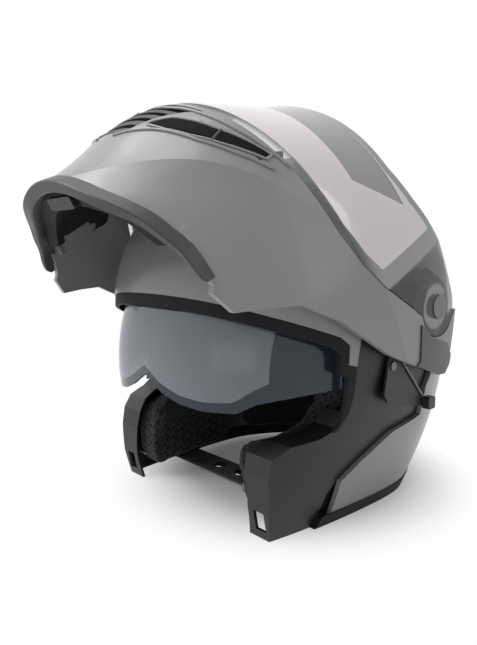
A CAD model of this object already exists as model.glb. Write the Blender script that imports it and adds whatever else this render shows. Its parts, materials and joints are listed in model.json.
"""Modular motorcycle helmet with its chin bar raised, dressed for rendering. Metres, Z up."""
import json
import math

import bpy
from mathutils import Matrix, Vector
from mathutils.bvhtree import BVHTree


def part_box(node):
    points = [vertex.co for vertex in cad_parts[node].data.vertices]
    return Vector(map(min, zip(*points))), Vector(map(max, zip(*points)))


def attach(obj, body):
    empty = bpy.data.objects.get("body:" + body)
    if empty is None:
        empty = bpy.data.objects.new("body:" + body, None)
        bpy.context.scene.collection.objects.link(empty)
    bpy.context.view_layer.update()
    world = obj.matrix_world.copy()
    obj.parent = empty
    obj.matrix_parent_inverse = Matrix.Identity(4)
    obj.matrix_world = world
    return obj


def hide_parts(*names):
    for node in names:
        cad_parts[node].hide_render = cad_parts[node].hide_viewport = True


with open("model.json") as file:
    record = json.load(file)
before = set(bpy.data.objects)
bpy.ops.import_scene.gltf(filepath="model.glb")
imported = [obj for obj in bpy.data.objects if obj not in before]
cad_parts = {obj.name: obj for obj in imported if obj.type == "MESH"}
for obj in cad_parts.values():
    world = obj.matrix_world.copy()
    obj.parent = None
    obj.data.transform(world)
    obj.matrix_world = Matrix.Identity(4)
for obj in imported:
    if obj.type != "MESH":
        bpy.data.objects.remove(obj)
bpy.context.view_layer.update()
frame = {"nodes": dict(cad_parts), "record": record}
nodes = frame["nodes"]
bpy.context.scene.view_settings.view_transform = "Standard"

HINGE = Vector((0, 0.015, 0.150))
OPEN_TURN = math.radians(-62)


# Materials


def tree(name):
    """A new material with its node tree, links and shader."""
    material = bpy.data.materials.new(name)
    material.use_nodes = True
    nodes_ = material.node_tree.nodes
    shader = nodes_["Principled BSDF"]
    return material, nodes_, material.node_tree.links, shader


def set_inputs(shader, values):
    """Constants straight onto the shader's sockets."""
    for key, value in values.items():
        shader.inputs[key].default_value = value


def coordinates(nodes_, links, scale=(1, 1, 1)):
    """Object coordinates through a mapping, so that a pattern keeps its real size."""
    source = nodes_.new("ShaderNodeTexCoord")
    mapping = nodes_.new("ShaderNodeMapping")
    mapping.inputs["Scale"].default_value = scale
    links.new(source.outputs["Object"], mapping.inputs["Vector"])
    return mapping.outputs["Vector"]


def noise(nodes_, links, vector, scale, detail, roughness=0.55):
    """Soft noise, its scale in bumps to a metre of the mapped coordinates."""
    texture = nodes_.new("ShaderNodeTexNoise")
    texture.inputs["Scale"].default_value = scale
    texture.inputs["Detail"].default_value = detail
    texture.inputs["Roughness"].default_value = roughness
    links.new(vector, texture.inputs["Vector"])
    return texture.outputs["Fac"]


def ramp(nodes_, links, factor, low, high, colors):
    """One colour below a value, the other above a second value, mixed between."""
    node = nodes_.new("ShaderNodeValToRGB")
    node.color_ramp.elements[0].position = low
    node.color_ramp.elements[1].position = high
    node.color_ramp.elements[0].color = (*colors[0], 1)
    node.color_ramp.elements[1].color = (*colors[1], 1)
    links.new(factor, node.inputs["Fac"])
    return node.outputs["Color"]


def map_range(nodes_, links, value, source, result=(0.0, 1.0), curve="LINEAR"):
    """A value carried from one range to another, and held at its ends."""
    node = nodes_.new("ShaderNodeMapRange")
    node.interpolation_type = curve
    node.inputs["From Min"].default_value = source[0]
    node.inputs["From Max"].default_value = source[1]
    node.inputs["To Min"].default_value = result[0]
    node.inputs["To Max"].default_value = result[1]
    links.new(value, node.inputs["Value"])
    return node.outputs["Result"]


def bump(nodes_, links, shader, height, strength, distance, before=None):
    """Relief on a shader from a height, on top of an earlier relief if there is one."""
    node = nodes_.new("ShaderNodeBump")
    node.inputs["Strength"].default_value = strength
    node.inputs["Distance"].default_value = distance
    links.new(height, node.inputs["Height"])
    if before is not None:
        links.new(before, node.inputs["Normal"])
    links.new(node.outputs["Normal"], shader.inputs["Normal"])
    return node.outputs["Normal"]


# Most of a noise's values lie in this range.
MIDDLE = (0.3, 0.7)


def moulded(name, color, roughness, grain=900, depth=0.00006, spread=0.06, coat=0.0,
            variation=0.12):
    """Painted, moulded or cast surface with its own grain and slight unevenness."""
    material, nodes_, links, shader = tree(name)
    set_inputs(shader, {"Coat Weight": coat, "Coat Roughness": 0.12})
    vector = coordinates(nodes_, links)
    broad = noise(nodes_, links, vector, scale=14, detail=3)
    low = tuple(c * (1 - variation) for c in color)
    high = tuple(min(1, c * (1 + variation)) for c in color)
    links.new(ramp(nodes_, links, broad, *MIDDLE, (low, high)), shader.inputs["Base Color"])
    fine = noise(nodes_, links, vector, scale=grain, detail=2)
    links.new(map_range(nodes_, links, fine, MIDDLE, (roughness - spread, roughness + spread)),
              shader.inputs["Roughness"])
    bump(nodes_, links, shader, fine, strength=0.5, distance=depth)
    return material


def brushed(name, color, roughness, direction=(1, 30, 1)):
    """Metal with fine lines along one direction."""
    material, nodes_, links, shader = tree(name)
    set_inputs(shader, {"Metallic": 1.0})
    vector = coordinates(nodes_, links, direction)
    lines = noise(nodes_, links, vector, scale=300, detail=5, roughness=0.7)
    links.new(ramp(nodes_, links, lines, 0.25, 0.75, (tuple(c * 0.82 for c in color), color)),
              shader.inputs["Base Color"])
    links.new(map_range(nodes_, links, lines, MIDDLE, (roughness * 0.7, roughness * 1.3)),
              shader.inputs["Roughness"])
    bump(nodes_, links, shader, lines, strength=0.3, distance=0.00003)
    return material


def clear(name, color, alpha, roughness=0.05, streaks=0.02, gain=0.55, coat=0.0):
    """Thin clear plastic: mostly see-through, with a glossy surface."""
    material, nodes_, links, shader = tree(name)
    set_inputs(shader, {"IOR": 1.5, "Specular IOR Level": 0.6, "Coat Weight": coat,
                        "Coat IOR": 1.9})
    vector = coordinates(nodes_, links)
    haze = noise(nodes_, links, vector, scale=9, detail=3)
    links.new(ramp(nodes_, links, haze, *MIDDLE, (tuple(c * 0.93 for c in color), color)),
              shader.inputs["Base Color"])
    fine = noise(nodes_, links, vector, scale=60, detail=3)
    links.new(map_range(nodes_, links, fine, MIDDLE, (roughness, roughness + streaks)),
              shader.inputs["Roughness"])
    rim = nodes_.new("ShaderNodeLayerWeight")
    rim.inputs["Blend"].default_value = 0.35
    links.new(map_range(nodes_, links, rim.outputs["Facing"], (0.0, 1.0),
                        (alpha, min(1, alpha + gain))), shader.inputs["Alpha"])
    bump(nodes_, links, shader, haze, strength=0.15, distance=0.0004)
    return material


def calculate(nodes_, links, operation, first, second=None):
    """One math node; each argument is a socket or a number."""
    node = nodes_.new("ShaderNodeMath")
    node.operation = operation
    for index, value in enumerate((first, second)):
        if value is None:
            continue
        if isinstance(value, (int, float)):
            node.inputs[index].default_value = value
        else:
            links.new(value, node.inputs[index])
    return node.outputs["Value"]


def wrapped(nodes_, links, vector):
    """How far round the pad a point lies, and its height."""
    parts = nodes_.new("ShaderNodeSeparateXYZ")
    links.new(vector, parts.inputs["Vector"])
    aside = calculate(nodes_, links, "ABSOLUTE", parts.outputs["X"])
    around = calculate(nodes_, links, "SUBTRACT", aside, parts.outputs["Y"])
    return calculate(nodes_, links, "MULTIPLY", around, 0.8), parts.outputs["Z"]


def cosine(nodes_, links, around, height, share_around, share_height):
    """The cosine of a slanted wave over the wrapped surface."""
    first = calculate(nodes_, links, "MULTIPLY", around, share_around)
    second = calculate(nodes_, links, "MULTIPLY", height, share_height)
    return calculate(nodes_, links, "COSINE", calculate(nodes_, links, "ADD", first, second))


def cells(name, color, edge, pitch, depth, waves, low, high):
    """Embossed cloth: raised cells in rows, with sunk lines between them."""
    material, nodes_, links, shader = tree(name)
    set_inputs(shader, {"Sheen Weight": 0.25, "Roughness": 0.9, "Specular IOR Level": 0.15})
    vector = coordinates(nodes_, links)
    around, height = wrapped(nodes_, links, vector)
    often = 2 * math.pi / pitch
    total = None
    for turn in waves:
        wave = cosine(nodes_, links, around, height, often * math.cos(turn), often * math.sin(turn))
        total = wave if total is None else calculate(nodes_, links, "ADD", total, wave)
    shape = map_range(nodes_, links, total, (low, high), curve="SMOOTHSTEP")
    links.new(ramp(nodes_, links, shape, 0.1, 0.9, (edge, color)), shader.inputs["Base Color"])
    weave = noise(nodes_, links, vector, scale=2200, detail=2)
    first = nodes_.new("ShaderNodeBump")
    first.inputs["Strength"].default_value = 0.35
    first.inputs["Distance"].default_value = 0.0002
    links.new(weave, first.inputs["Height"])
    bump(nodes_, links, shader, shape, strength=1.0, distance=depth,
         before=first.outputs["Normal"])
    return material


def webbing(name, color, pitch):
    """Woven strap with fine ribs across it."""
    material, nodes_, links, shader = tree(name)
    set_inputs(shader, {"Roughness": 0.8, "Sheen Weight": 0.3})
    vector = coordinates(nodes_, links)
    wave = nodes_.new("ShaderNodeTexWave")
    wave.wave_type = "BANDS"
    wave.bands_direction = "X"
    # The texture's bands lie 0.314 over its scale apart, so this is close to the pitch.
    wave.inputs["Scale"].default_value = 1 / pitch / 3.14
    wave.inputs["Distortion"].default_value = 0.6
    links.new(vector, wave.inputs["Vector"])
    links.new(ramp(nodes_, links, wave.outputs["Fac"], 0.2, 0.8,
                   (tuple(c * 0.5 for c in color), color)), shader.inputs["Base Color"])
    bump(nodes_, links, shader, wave.outputs["Fac"], strength=0.8, distance=0.0003)
    return material


def closed_parts(nodes_, links):
    """The coordinates that a chin bar piece's surface has with the bar closed."""
    source = nodes_.new("ShaderNodeTexCoord")
    closed = nodes_.new("ShaderNodeMapping")
    closed.inputs["Rotation"].default_value = (-OPEN_TURN, 0, 0)
    closed.inputs["Location"].default_value = HINGE - Matrix.Rotation(-OPEN_TURN, 3, "X") @ HINGE
    links.new(source.outputs["Object"], closed.inputs["Vector"])
    parts = nodes_.new("ShaderNodeSeparateXYZ")
    links.new(closed.outputs["Vector"], parts.inputs["Vector"])
    return parts.outputs["X"], parts.outputs["Y"], parts.outputs["Z"]


def shield_place(nodes_, links):
    """How far round the closed shield a point lies, in radians from the front, and its height."""
    across, along, height = closed_parts(nodes_, links)
    ahead = calculate(nodes_, links, "MULTIPLY", along, -1.0)
    turn = calculate(nodes_, links, "ARCTAN2", calculate(nodes_, links, "ABSOLUTE", across), ahead)
    return turn, height


def over_line(nodes_, links, along, height, base, slope, way):
    """How far a point is above, or with a negative way below, a slanting line."""
    line = calculate(nodes_, links, "MULTIPLY", along, slope)
    line = calculate(nodes_, links, "ADD", line, base)
    above = calculate(nodes_, links, "SUBTRACT", height, line)
    return calculate(nodes_, links, "MULTIPLY", above, way)


def parts_of(material):
    """A finished material's nodes, links and shader, to add to."""
    nodes_ = material.node_tree.nodes
    return nodes_, material.node_tree.links, nodes_["Principled BSDF"]


def windowed(material, lines, end_turn):
    """Leaves a film out of a window between slanting lines, and behind its rear end."""
    nodes_, links, shader = parts_of(material)
    turn, height = shield_place(nodes_, links)
    least = None
    for base, slope, way in lines:
        over = over_line(nodes_, links, turn, height, base, slope, way)
        least = over if least is None else calculate(nodes_, links, "MINIMUM", least, over)
    window = map_range(nodes_, links, least, (-0.0004, 0.0004))
    ended = map_range(nodes_, links, turn, (end_turn - 0.004, end_turn + 0.004))
    gone = calculate(nodes_, links, "MAXIMUM", window, ended)
    kept = calculate(nodes_, links, "SUBTRACT", 1.0, gone)
    before = shader.inputs["Alpha"].links[0].from_socket
    links.new(calculate(nodes_, links, "MULTIPLY", before, kept), shader.inputs["Alpha"])


def zoned(material, plain, pod_color, mist_height, mist_alpha, pod_turn):
    """Mists a shield above one height, and darkens its pods."""
    nodes_, links, shader = parts_of(material)
    turn, height = shield_place(nodes_, links)
    pod = map_range(nodes_, links, turn, (pod_turn - 0.01, pod_turn + 0.01))
    mist = map_range(nodes_, links, height, (mist_height - 0.004, mist_height + 0.004))
    thinner = calculate(nodes_, links, "MULTIPLY", pod, 0.6)
    front = calculate(nodes_, links, "SUBTRACT", mist, thinner)
    front = calculate(nodes_, links, "MAXIMUM", front, 0.0)
    added = calculate(nodes_, links, "MULTIPLY", front, mist_alpha)
    before = shader.inputs["Alpha"].links[0].from_socket
    more = calculate(nodes_, links, "ADD", before, added)
    links.new(calculate(nodes_, links, "MINIMUM", more, 1.0), shader.inputs["Alpha"])
    links.new(ramp(nodes_, links, pod, 0.0, 1.0, (plain, pod_color)), shader.inputs["Base Color"])


def creased(material, rise, crease_slope, crease_base, reach):
    """Adds to a finish the crease that runs up each side of the chin bar."""
    nodes_, links, shader = parts_of(material)
    across, _, height = closed_parts(nodes_, links)
    aside = calculate(nodes_, links, "ABSOLUTE", across)
    off = over_line(nodes_, links, aside, height, crease_base, crease_slope, 1.0)
    gap = calculate(nodes_, links, "ABSOLUTE", off)
    near = map_range(nodes_, links, gap, (0.0, reach * math.hypot(1, crease_slope)), (1.0, 0.0))
    ridge = calculate(nodes_, links, "POWER", near, 2.0)
    before = shader.inputs["Normal"].links[0].from_socket
    bump(nodes_, links, shader, ridge, strength=1.0, distance=rise, before=before)
    return material


paint = moulded("satin_paint", (0.275, 0.285, 0.278), roughness=0.36, grain=1400, depth=0.00001,
                spread=0.04, coat=0.25, variation=0.03)
black_plastic = moulded("grained_plastic", (0.010, 0.010, 0.011), roughness=0.44, grain=1800,
                        depth=0.00007)
gloss_black = moulded("smooth_black_plastic", (0.012, 0.012, 0.014), roughness=0.2, grain=600,
                      depth=0.00001, coat=0.4)
rubber = moulded("black_rubber", (0.010, 0.010, 0.011), roughness=0.62, grain=1200,
                 depth=0.00005)
foam = moulded("black_foam", (0.012, 0.012, 0.013), roughness=0.85, grain=420, depth=0.0003,
               spread=0.05)
steel = brushed("brushed_steel", (0.42, 0.42, 0.43), roughness=0.34)
bright = brushed("bright_metal", (0.72, 0.72, 0.74), roughness=0.16, direction=(30, 1, 1))
lens = clear("clear_shield", (0.36, 0.38, 0.37), alpha=0.12, roughness=0.03, gain=0.40)
film = clear("shield_film", (0.98, 0.90, 0.90), alpha=0.88, roughness=0.10, streaks=0.04,
             coat=0.6)
smoke = clear("smoked_lens", (0.035, 0.050, 0.072), alpha=0.66, roughness=0.05, gain=0.28)
film_on_smoke = clear("sun_visor_film", (0.52, 0.57, 0.62), alpha=0.36, roughness=0.12,
                      streaks=0.03, gain=0.30)
hex_waves = [math.radians(turn) for turn in (0, 60, 120)]
hex_cloth = cells("hexagon_cloth", (0.030, 0.030, 0.032), (0.007, 0.007, 0.008), pitch=0.0062,
                  depth=0.0009, waves=hex_waves, low=-1.25, high=-0.55)
square_waves = [math.radians(turn) for turn in (45, 135)]
mesh_cloth = cells("mesh_cloth", (0.012, 0.012, 0.013), (0.036, 0.036, 0.038), pitch=0.0042,
                   depth=0.0005, waves=square_waves, low=0.4, high=1.2)
strap_cloth = webbing("strap_webbing", (0.022, 0.022, 0.024), pitch=0.0011)
thread = moulded("strap_thread", (0.045, 0.045, 0.048), roughness=0.7, grain=2500)
band_rubber = moulded("band_rubber", (0.034, 0.034, 0.035), roughness=0.40, grain=1500,
                      depth=0.00003)
deep_black = moulded("deep_black", (0.004, 0.004, 0.0045), roughness=0.8)
dark_steel = brushed("dark_steel", (0.16, 0.16, 0.17), roughness=0.30)
for material, gloss in ((foam, 0.2), (rubber, 0.2), (thread, 0.2), (deep_black, 0.12)):
    set_inputs(parts_of(material)[2], {"Specular IOR Level": gloss})

# The crease climbs by 0.93 for each metre to the side, from 17.5 mm below the rim's plane.
chin_paint = creased(paint.copy(), rise=0.0022, crease_slope=0.93, crease_base=-0.0175,
                     reach=0.020)

# The film's window lies above two lines and below a third: height, slope by radian, way.
window_lines = ((0.1467, -0.0263, 1.0), (0.0232, 0.1157, 0.6), (0.1721, -0.0195, -1.0))
film_end = math.radians(73)
windowed(film, window_lines, film_end)
pod_start = math.radians(79)
zoned(lens, (0.42, 0.44, 0.42), (0.10, 0.10, 0.104), mist_height=0.098, mist_alpha=0.66,
      pod_turn=pod_start)

finishes = {
    "paint": paint, "black_plastic": black_plastic, "gloss_black": gloss_black,
    "black_rubber": rubber, "foam_black": foam, "lining_fabric": mesh_cloth,
    "webbing": strap_cloth, "steel": steel, "bright_metal": bright, "clear_lens": lens,
    "film": film, "smoked_lens": smoke,
}
slots = {part["node"]: part["material_slot"] for part in frame["record"]["subparts"]}
crease_angle = math.radians(28)
for name, node in nodes.items():
    node.data.materials.clear()
    node.data.materials.append(finishes[slots[name]])
    for polygon in node.data.polygons:
        polygon.use_smooth = True
    node.data.set_sharp_from_angle(angle=crease_angle)
nodes["chin_bar_shell"].data.materials[0] = chin_paint
for name in ("sun_lever_wire", "sun_lever_rivet", "hinge_arm_left", "hinge_arm_right",
             "hinge_pin_left", "hinge_pin_right"):
    nodes[name].data.materials[0] = dark_steel


# Camera, where the photograph was taken from

camera_data = bpy.data.cameras.new("photo_camera")
camera_data.sensor_width = 36
camera_data.lens = 32.163
camera = bpy.data.objects.new("photo_camera", camera_data)
bpy.context.collection.objects.link(camera)
azimuth, elevation, roll = math.radians(47.59), math.radians(7.30), math.radians(-0.28)
target = Vector((-0.06011, 0, 0.12261))
back = Vector((math.sin(azimuth) * math.cos(elevation), -math.cos(azimuth) * math.cos(elevation),
               math.sin(elevation)))
distance = 0.53734
place = target + back * distance
right = (-back).cross(Vector((0, 0, 1))).normalized()
up = right.cross(-back)
right_rolled = right * math.cos(roll) + up * math.sin(roll)
up_rolled = up * math.cos(roll) - right * math.sin(roll)
camera.matrix_world = Matrix((
    (right_rolled.x, up_rolled.x, back.x, place.x),
    (right_rolled.y, up_rolled.y, back.y, place.y),
    (right_rolled.z, up_rolled.z, back.z, place.z),
    (0, 0, 0, 1),
))
bpy.context.scene.camera = camera


# Floor, world and soft lights

floor_data = bpy.data.meshes.new("floor")
reach = 6.0
floor_corners = [(-reach, -reach, 0), (reach, -reach, 0), (reach, reach, 0), (-reach, reach, 0)]
floor_data.from_pydata(floor_corners, [], [(0, 1, 2, 3)])
floor = bpy.data.objects.new("floor", floor_data)
floor_drop = 0.0005
floor.location.z = -floor_drop
bpy.context.collection.objects.link(floor)
floor_material, floor_nodes, floor_links, floor_shader = tree("pale_floor")
set_inputs(floor_shader, {"Base Color": (0.93, 0.93, 0.93, 1), "Roughness": 0.85})


def shown_ray(nodes_, links):
    """One where the ray comes from the camera, a mirror or clear glass, and zero elsewhere."""
    path = nodes_.new("ShaderNodeLightPath")
    total = path.outputs["Is Camera Ray"]
    for kind in ("Is Glossy Ray", "Is Transmission Ray"):
        total = calculate(nodes_, links, "MAXIMUM", total, path.outputs[kind])
    return total


# The floor fades to the white of the background away from the helmet, and keeps its shadow near.
paper = floor_nodes.new("ShaderNodeEmission")
paper.inputs["Color"].default_value = (1, 1, 1, 1)
paper.inputs["Strength"].default_value = 1.0
away = floor_nodes.new("ShaderNodeVectorMath")
away.operation = "LENGTH"
place_on_floor = floor_nodes.new("ShaderNodeTexCoord")
floor_links.new(place_on_floor.outputs["Object"], away.inputs[0])
shadow_reach = (0.07, 0.165)
fade = map_range(floor_nodes, floor_links, away.outputs["Value"], shadow_reach, (0.1, 1.0),
                 "SMOOTHSTEP")
seen_share = calculate(floor_nodes, floor_links, "MULTIPLY", fade,
                       shown_ray(floor_nodes, floor_links))
floor_mix = floor_nodes.new("ShaderNodeMixShader")
floor_links.new(seen_share, floor_mix.inputs["Fac"])
floor_links.new(floor_shader.outputs["BSDF"], floor_mix.inputs[1])
floor_links.new(paper.outputs["Emission"], floor_mix.inputs[2])
floor_links.new(floor_mix.outputs["Shader"], floor_nodes["Material Output"].inputs["Surface"])
floor.data.materials.append(floor_material)

world = bpy.data.worlds.new("studio")
world.use_nodes = True
bpy.context.scene.world = world
world_nodes, world_links = world.node_tree.nodes, world.node_tree.links
background = world_nodes["Background"]
background.inputs["Color"].default_value = (0.95, 0.97, 1.0, 1)
background.inputs["Strength"].default_value = 0.19
seen = world_nodes.new("ShaderNodeBackground")
seen.inputs["Color"].default_value = (1, 1, 1, 1)
seen.inputs["Strength"].default_value = 1.0
mix = world_nodes.new("ShaderNodeMixShader")
world_links.new(shown_ray(world_nodes, world_links), mix.inputs["Fac"])
world_links.new(background.outputs["Background"], mix.inputs[1])
world_links.new(seen.outputs["Background"], mix.inputs[2])
world_links.new(mix.outputs["Shader"], world_nodes["World Output"].inputs["Surface"])


def lamp(name, place, aim, power, width, height):
    """A soft box aimed at a point."""
    data = bpy.data.lights.new(name, "AREA")
    data.shape = "RECTANGLE"
    data.size, data.size_y = width, height
    data.energy = power
    lamp_object = bpy.data.objects.new(name, data)
    lamp_object.location = place
    direction = Vector(aim) - Vector(place)
    lamp_object.rotation_euler = direction.to_track_quat("-Z", "Y").to_euler()
    bpy.context.collection.objects.link(lamp_object)


middle = (0, 0, 0.15)
lamp("key_softbox", (-0.55, -0.95, 1.35), middle, power=15, width=1.1, height=1.1)
lamp("top_softbox", (-0.35, -0.35, 1.6), middle, power=8, width=1.0, height=1.0)
lamp("right_strip", (1.3, 0.5, 0.9), middle, power=2.4, width=0.4, height=1.2)
lamp("low_fill", (0.6, -1.1, 0.15), (0, 0, 0.1), power=0.8, width=0.8, height=0.4)


# Soft pieces


def copy_of(name, new_name):
    """A free copy of a CAD node's mesh as the start of a dressed piece."""
    piece = bpy.data.objects.new(new_name, nodes[name].data.copy())
    piece.matrix_world = nodes[name].matrix_world.copy()
    bpy.context.collection.objects.link(piece)
    return piece


def apply_modifiers(piece):
    """Makes the piece's mesh the one that its modifiers show."""
    bpy.context.view_layer.update()
    graph = bpy.context.evaluated_depsgraph_get()
    mesh = bpy.data.meshes.new_from_object(piece.evaluated_get(graph))
    old = piece.data
    piece.modifiers.clear()
    piece.data = mesh
    bpy.data.meshes.remove(old)


def remesh(piece, voxel):
    """Even faces over the whole piece, with its corners eased."""
    modifier = piece.modifiers.new("remesh", "REMESH")
    modifier.mode = "VOXEL"
    modifier.voxel_size = voxel
    smooth = piece.modifiers.new("smooth", "SMOOTH")
    smooth.factor = 0.5
    smooth.iterations = 6
    apply_modifiers(piece)


cloth_frames = 14


def inflate(piece, pressure, cap):
    """Cloth with a little pressure, each point's way capped, as a stuffed pad swells."""
    start = [vertex.co.copy() for vertex in piece.data.vertices]
    cloth = piece.modifiers.new("cloth", "CLOTH")
    settings = cloth.settings
    settings.quality = 4
    settings.mass = 0.3
    settings.tension_stiffness = 12
    settings.compression_stiffness = 12
    settings.shear_stiffness = 6
    settings.bending_stiffness = 3
    settings.use_pressure = True
    settings.uniform_pressure_force = pressure
    settings.effector_weights.gravity = 0
    scene = bpy.context.scene
    for step in range(1, cloth_frames + 1):
        scene.frame_set(step)
    graph = bpy.context.evaluated_depsgraph_get()
    moved = [vertex.co.copy() for vertex in piece.evaluated_get(graph).data.vertices]
    piece.modifiers.clear()
    scene.frame_set(1)
    for vertex, before, after in zip(piece.data.vertices, start, moved):
        way = after - before
        if way.length > cap:
            way *= cap / way.length
        vertex.co = before + way
    piece.data.update()


def subdivide(piece):
    """Splits each face once, for rounder curves."""
    modifier = piece.modifiers.new("subdivision", "SUBSURF")
    modifier.levels = 1
    modifier.render_levels = 1
    apply_modifiers(piece)


def shade(piece, *materials):
    """Gives the piece its materials, and smooth faces."""
    piece.data.materials.clear()
    for material in materials:
        piece.data.materials.append(material)
    for polygon in piece.data.polygons:
        polygon.use_smooth = True


def soft_pad(node, name, voxel, shrink, pressure, cap, materials, split=None, body="shell"):
    """A stuffed pad grown from its CAD solid: remeshed, drawn in, swollen, given its cloths."""
    piece = copy_of(node, name)
    remesh(piece, voxel)
    displace = piece.modifiers.new("draw_in", "DISPLACE")
    displace.strength = -shrink
    displace.mid_level = 0.0
    apply_modifiers(piece)
    inflate(piece, pressure, cap)
    subdivide(piece)
    shade(piece, *materials)
    if split is not None:
        for polygon in piece.data.polygons:
            polygon.material_index = split(polygon.center)
    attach(piece, body)
    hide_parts(node)


hex_front, hex_top = -0.078, 0.045


def pad_split(centre):
    """The front rolls and the low faces wear the hexagon cloth, the rest the square mesh."""
    return 0 if centre.y < hex_front or centre.z < hex_top else 1


for side in ("left", "right"):
    soft_pad("cheek_pad_" + side, "cheek_cushion_" + side, voxel=0.004, shrink=0.0018,
             pressure=3.0, cap=0.0022, materials=(hex_cloth, mesh_cloth), split=pad_split)
soft_pad("neck_roll", "neck_cushion", voxel=0.0045, shrink=0.0018, pressure=3.0, cap=0.002,
         materials=(mesh_cloth,))
soft_pad("crown_pad", "crown_cushion", voxel=0.005, shrink=0.0015, pressure=2.0, cap=0.0015,
         materials=(mesh_cloth,))
soft_pad("chin_lining", "chin_cushion", voxel=0.004, shrink=0.0012, pressure=2.0, cap=0.0012,
         materials=(foam,), body="chin_bar")


def strap_band(node, name):
    """Woven strap from its CAD solid with its edges eased."""
    piece = copy_of(node, name)
    bevel = piece.modifiers.new("edge", "BEVEL")
    bevel.width = 0.0005
    bevel.segments = 2
    bevel.limit_method = "ANGLE"
    apply_modifiers(piece)
    shade(piece, strap_cloth)
    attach(piece, "shell")
    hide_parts(node)


for side in ("left", "right"):
    strap_band("strap_" + side, "strap_webbing_" + side)


# Pieces built from points


def add_mesh(name, points, faces, material, body):
    """A new piece from points and faces, on its body and with its slot."""
    mesh = bpy.data.meshes.new(name)
    mesh.from_pydata([tuple(point) for point in points], [], faces)
    piece = bpy.data.objects.new(name, mesh)
    bpy.context.collection.objects.link(piece)
    shade(piece, material)
    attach(piece, body)
    return piece


def grid_faces(columns, rows, flip=False):
    """Faces over a grid of points that was filled column by column."""
    faces = []
    for column in range(columns):
        for row in range(rows):
            a = column * (rows + 1) + row
            corners = (a, a + rows + 1, a + rows + 2, a + 1)
            faces.append(corners[::-1] if flip else corners)
    return faces


def ring_faces(rings, sides, flip=False):
    """Faces between closed rings of points, with both ends capped."""
    faces = []
    for ring in range(rings - 1):
        for side in range(sides):
            a = ring * sides + side
            b = ring * sides + (side + 1) % sides
            c = b + sides
            d = a + sides
            faces.append((a, d, c, b) if flip else (a, b, c, d))
    first = tuple(range(sides))
    last = tuple((rings - 1) * sides + side for side in range(sides))
    faces.extend((first, last[::-1]) if flip else (first[::-1], last))
    return faces


def lathe(profile, centre):
    """Points and faces of a turned form about an upright line, from (radius, height) pairs."""
    sides = 32
    points = []
    for radius, height in profile:
        for side in range(sides):
            turn = 2 * math.pi * side / sides
            reach = Vector((radius * math.cos(turn), radius * math.sin(turn), height))
            points.append(Vector(centre) + reach)
    return points, ring_faces(len(profile), sides)


def tube(name, path, radius, material, body):
    """A round bead along a path of points."""
    sides = 8
    # No bead here runs along this direction.
    aside = Vector((0.13, 0.2, 0.97))
    points = []
    for index, point in enumerate(path):
        ahead = path[min(index + 1, len(path) - 1)] - path[max(index - 1, 0)]
        ahead.normalize()
        across = ahead.cross(aside).normalized()
        upward = across.cross(ahead)
        for side in range(sides):
            turn = 2 * math.pi * side / sides
            points.append(point + across * (radius * math.cos(turn))
                          + upward * (radius * math.sin(turn)))
    add_mesh(name, points, ring_faces(len(path), sides), material, body)


def height_at(path, x):
    """The height of a path of (x, height) points at this x."""
    for (x0, z0), (x1, z1) in zip(path, path[1:]):
        if x <= x1:
            return z0 + (z1 - z0) * (x - x0) / (x1 - x0)
    return path[-1][1]


# Rubber band under the chin bar, fitted to its lower edge with the bar closed


def closed_faces(name):
    """A chin bar node's faces with the bar closed, ready for rays."""
    node = nodes[name]
    turn = Matrix.Rotation(-OPEN_TURN, 3, "X")
    points = [HINGE + turn @ (node.matrix_world @ vertex.co - HINGE)
              for vertex in node.data.vertices]
    polygons = [list(polygon.vertices) for polygon in node.data.polygons]
    return BVHTree.FromPolygons(points, polygons)


def opened(point):
    """Where a point of the closed chin bar goes when the bar is raised."""
    return HINGE + Matrix.Rotation(OPEN_TURN, 3, "X") @ (point - HINGE)


chin_faces = closed_faces("chin_bar_shell")
ray_start = 0.4
band_centre = -0.020
band_ends = math.radians(54)
band_steps = 96
smoothing_rounds = 12
round_steps, thin_steps = 6, 26


def chin_edge(turn):
    """The closed chin bar's lowest point this far round from the front, found by rays."""
    bottom, top, climb, face_height = -0.016, 0.03, 0.0005, 0.0025
    ray_length = 0.36
    outward = Vector((math.sin(turn), -math.cos(turn), 0))
    height = bottom
    hit = None
    while hit is None and height < top:
        height += climb
        start = Vector((0, band_centre, height)) + outward * ray_start
        hit = chin_faces.ray_cast(start, -outward, ray_length)[0]
    face = chin_faces.ray_cast(start + Vector((0, 0, face_height)), -outward, ray_length)[0]
    edge = (face or hit).copy()
    edge.z = height
    return edge


# The band's section: outward from the edge, and up from it
band_profile = [(-0.0010, 0.0030), (0.0006, 0.0024), (0.0012, 0.0016), (0.0022, -0.0068),
                (0.0016, -0.0078), (-0.0050, -0.0072), (-0.0062, -0.0062), (-0.0066, -0.0020),
                (-0.0066, 0.0030)]
line = [chin_edge(band_ends * (2 * step / band_steps - 1)) for step in range(band_steps + 1)]
for smoothing in range(smoothing_rounds):
    inner = [line[i - 1] * 0.25 + line[i] * 0.5 + line[i + 1] * 0.25
             for i in range(1, band_steps)]
    line = [line[0]] + inner + [line[-1]]
points = []
for step, edge in enumerate(line):
    along = line[min(step + 1, band_steps)] - line[max(step - 1, 0)]
    outward = Vector((along.y, -along.x, 0)).normalized()
    from_end = min(step, band_steps - step)
    share = min(1, from_end / round_steps)
    depth = 0.35 + 0.65 * math.sqrt(1 - (1 - share) ** 2)
    thickness = min(1, 0.08 + 0.92 * from_end / thin_steps)
    for out_way, height in band_profile:
        if out_way < 0:
            out_way *= thickness
        drop = height * depth if height < 0 else height
        points.append(opened(edge + outward * out_way + Vector((0, 0, drop))))
faces = ring_faces(band_steps + 1, len(band_profile), flip=True)
band = add_mesh("chin_band", points, faces, band_rubber, "chin_bar")
band_crease = math.radians(30)
band.data.set_sharp_from_angle(angle=band_crease)


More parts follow.
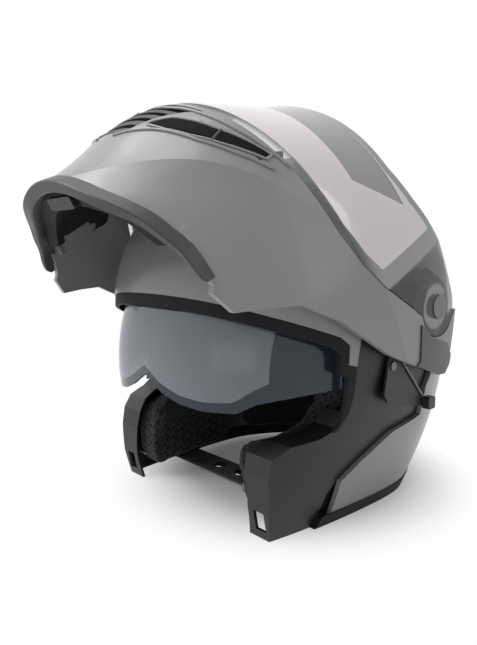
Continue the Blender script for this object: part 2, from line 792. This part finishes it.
# Pieces laid on the chin bar's outer face


def on_chin(x, z, off):
    """A point off the closed chin bar's outer face, which is bridged where a slot is open."""
    farthest, climb, ray_length = 0.03, 0.001, 0.34
    found = []
    for way in (1, -1):
        lift = 0
        struck = None
        while struck is None and lift < farthest:
            start = Vector((x, -ray_start, z + way * lift))
            struck = chin_faces.ray_cast(start, Vector((0, 1, 0)), ray_length)[0]
            lift += climb
        if struck is not None:
            found.append((struck.y, lift))
    if len(found) > 1:
        total = sum(lift for y, lift in found)
        depth = sum(y * (total - lift) for y, lift in found) / total
    else:
        depth = found[0][0]
    outward = Vector((x, depth - band_centre, 0)).normalized()
    return Vector((x, depth, z)) + outward * off


bead_off = 0.0002


def chin_line(path, side):
    """A path of (x, height) points laid over one side of the chin bar, in short pieces."""
    piece_length = 0.002
    line = []
    for (x0, z0), (x1, z1) in zip(path, path[1:]):
        pieces = max(2, int(math.hypot(x1 - x0, z1 - z0) / piece_length))
        for i in range(pieces):
            x = x0 + (x1 - x0) * i / pieces
            z = z0 + (z1 - z0) * i / pieces
            line.append(opened(on_chin(side * x, z, bead_off)))
    return line


def along_line(path, share):
    """The point at this share of a path's width."""
    x = path[0][0] + (path[-1][0] - path[0][0]) * share
    return x, height_at(path, x)


hands = ((1, "right"), (-1, "left"))

# Painted flaps over the slots that the latch hooks are fitted through, sunk at their edges
flap_x, flap_width = 0.0795, 0.012
flap_z, flap_height = 0.0070, 0.0085
flap_cuts = 10
flap_sunk, flap_rise, flap_edge = -0.0004, 0.0008, 2
for side, word in hands:
    points = []
    for column in range(flap_cuts + 1):
        for row in range(flap_cuts + 1):
            edge_gap = min(column, flap_cuts - column, row, flap_cuts - row)
            off = flap_sunk + flap_rise * min(1, edge_gap / flap_edge)
            x = flap_x + flap_width * column / flap_cuts
            z = flap_z + flap_height * row / flap_cuts
            points.append(opened(on_chin(side * x, z, off)))
    faces = grid_faces(flap_cuts, flap_cuts, side < 0)
    add_mesh("latch_flap_" + word, points, faces, chin_paint, "chin_bar")

# Side intakes: a dark mouth in a moulded lip, with one upright fin, between two raised lines
mouth_low = [(0.030, 0.0530), (0.044, 0.0540), (0.058, 0.0585), (0.072, 0.0665),
             (0.081, 0.0735), (0.089, 0.0805)]
mouth_high = [(0.030, 0.0560), (0.040, 0.0660), (0.054, 0.0715), (0.064, 0.0745),
              (0.076, 0.0800), (0.089, 0.0860)]
mouth_rim = mouth_low + mouth_high[::-1] + mouth_low[:1]
frame_low = [(0.010, 0.0405), (0.019, 0.044), (0.036, 0.0505), (0.063, 0.0585), (0.078, 0.067),
             (0.095, 0.0805)]
frame_high = [(0.010, 0.0785), (0.030, 0.0790), (0.048, 0.0800), (0.070, 0.0830),
              (0.098, 0.0900)]
beads = (("intake_lip", mouth_rim, 0.0009), ("intake_sill", frame_low, 0.0011),
         ("intake_brow", frame_high, 0.0011))
mouth_columns, mouth_rows = 40, 10
mouth_sunk, mouth_rise, mouth_edge = -0.0006, 0.0012, 0.1
fin_steps, fin_radius = 8, 0.0010
for side, word in hands:
    points = []
    for column in range(mouth_columns + 1):
        share = column / mouth_columns
        low_x, low_z = along_line(mouth_low, share)
        high_x, high_z = along_line(mouth_high, share)
        for row in range(mouth_rows + 1):
            part = row / mouth_rows
            edge_gap = min(part, 1 - part, share * 3, (1 - share) * 3)
            off = mouth_sunk + mouth_rise * min(1, edge_gap / mouth_edge)
            x = low_x + (high_x - low_x) * part
            z = low_z + (high_z - low_z) * part
            points.append(opened(on_chin(side * x, z, off)))
    faces = grid_faces(mouth_columns, mouth_rows, side < 0)
    mouth = add_mesh("intake_mouth_" + word, points, faces, deep_black, "chin_bar")
    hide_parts("side_intake_" + word)
    for name, path, radius in beads:
        tube(name + "_" + word, chin_line(path, side), radius, chin_paint, "chin_bar")
    fin = []
    for i in range(fin_steps + 1):
        x = 0.0680 - 0.002 * i / fin_steps
        z = 0.064 + 0.011 * i / fin_steps
        fin.append(opened(on_chin(side * x, z, bead_off)))
    tube("intake_fin_" + word, fin, fin_radius, black_plastic, "chin_bar")


# Press studs: a rolled ring round a shallow dome

# Shares of the stud's radius and height
stud_profile = [(1.0, 0.0), (1.0, 0.35), (0.94, 0.62), (0.84, 0.70), (0.76, 0.60), (0.70, 0.34),
                (0.62, 0.30), (0.50, 0.52), (0.34, 0.78), (0.16, 0.94), (0.02, 1.0)]
low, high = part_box("press_studs")
stud_radius = (high.y - low.y) / 2
stud_height = high.z - low.z
profile = [(r * stud_radius, h * stud_height) for r, h in stud_profile]
for index, x in enumerate((low.x + stud_radius, high.x - stud_radius)):
    points, faces = lathe(profile, (x, (low.y + high.y) / 2, low.z))
    stud = add_mesh("press_stud_%d" % (index + 1), points, faces, bright, "shell")
    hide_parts("press_studs")


# Stitching: short threads in a zigzag across the strap near its ends

strap_top = 0.0061
zigzag_starts = (-0.052, -0.046, 0.004, 0.010)
zigzag_width = 0.0022
stitch_count, stitch_first, stitch_step = 11, -0.059, 0.0019
thread_half = 0.00035
# Along each stitch: share of its length, share of its width, rise above the strap
stitch_sections = ((0, 0.3, -0.0001), (0.3, 1, 0.00022), (0.7, 1, 0.00022), (1, 0.3, -0.0001))
points, faces = [], []
for start in zigzag_starts:
    for index in range(stitch_count):
        y = stitch_first + stitch_step * index
        ends = [start, start + zigzag_width]
        if index % 2:
            ends.reverse()
        first = Vector((ends[0], y, strap_top))
        last = Vector((ends[1], y + stitch_step, strap_top))
        side_way = (last - first).cross(Vector((0, 0, 1))).normalized() * thread_half
        base = len(points)
        for share, width, rise in stitch_sections:
            place = first.lerp(last, share)
            points.extend((place - side_way * width, place + Vector((0, 0, rise)),
                           place + side_way * width))
        for row in range(len(stitch_sections) - 1):
            for column in range(2):
                a = base + row * 3 + column
                faces.append((a, a + 1, a + 4, a + 3))
add_mesh("strap_stitching", points, faces, thread, "shell")


# Protective film on the sun visor, a little inside its edge

# The lens lies on arcs about one line across the helmet. Their radius falls to the sides.
arc_y, arc_z = -0.005, 0.105
arc_radius, arc_half_width, arc_power = 0.138, 0.112, 2.3
lens_edge = [(0, 0.105), (0.017, 0.095), (0.033, 0.089), (0.050, 0.0862), (0.068, 0.0862),
             (0.077, 0.092), (0.088, 0.095)]
film_off = 0.0003
film_half_width, film_top = 0.084, 0.150
edge_margin, corner_margin, corner_power = 0.0065, 0.006, 8
film_columns, film_rows = 60, 16
points = []
for column in range(film_columns + 1):
    x = -film_half_width + 2 * film_half_width * column / film_columns
    narrowing = 1 - (abs(x) / arc_half_width) ** arc_power
    radius = arc_radius * narrowing ** (1 / arc_power) + film_off
    corner = corner_margin * (abs(x) / film_half_width) ** corner_power
    bottom = height_at(lens_edge, abs(x)) + edge_margin + corner
    for row in range(film_rows + 1):
        z = bottom + (film_top - bottom) * row / film_rows
        turn = math.asin(max(-1, min(1, (z - arc_z) / radius)))
        points.append(Vector((x, arc_y - radius * math.cos(turn), z)))
faces = grid_faces(film_columns, film_rows)
add_mesh("sun_visor_film", points, faces, film_on_smoke, "sun_visor")
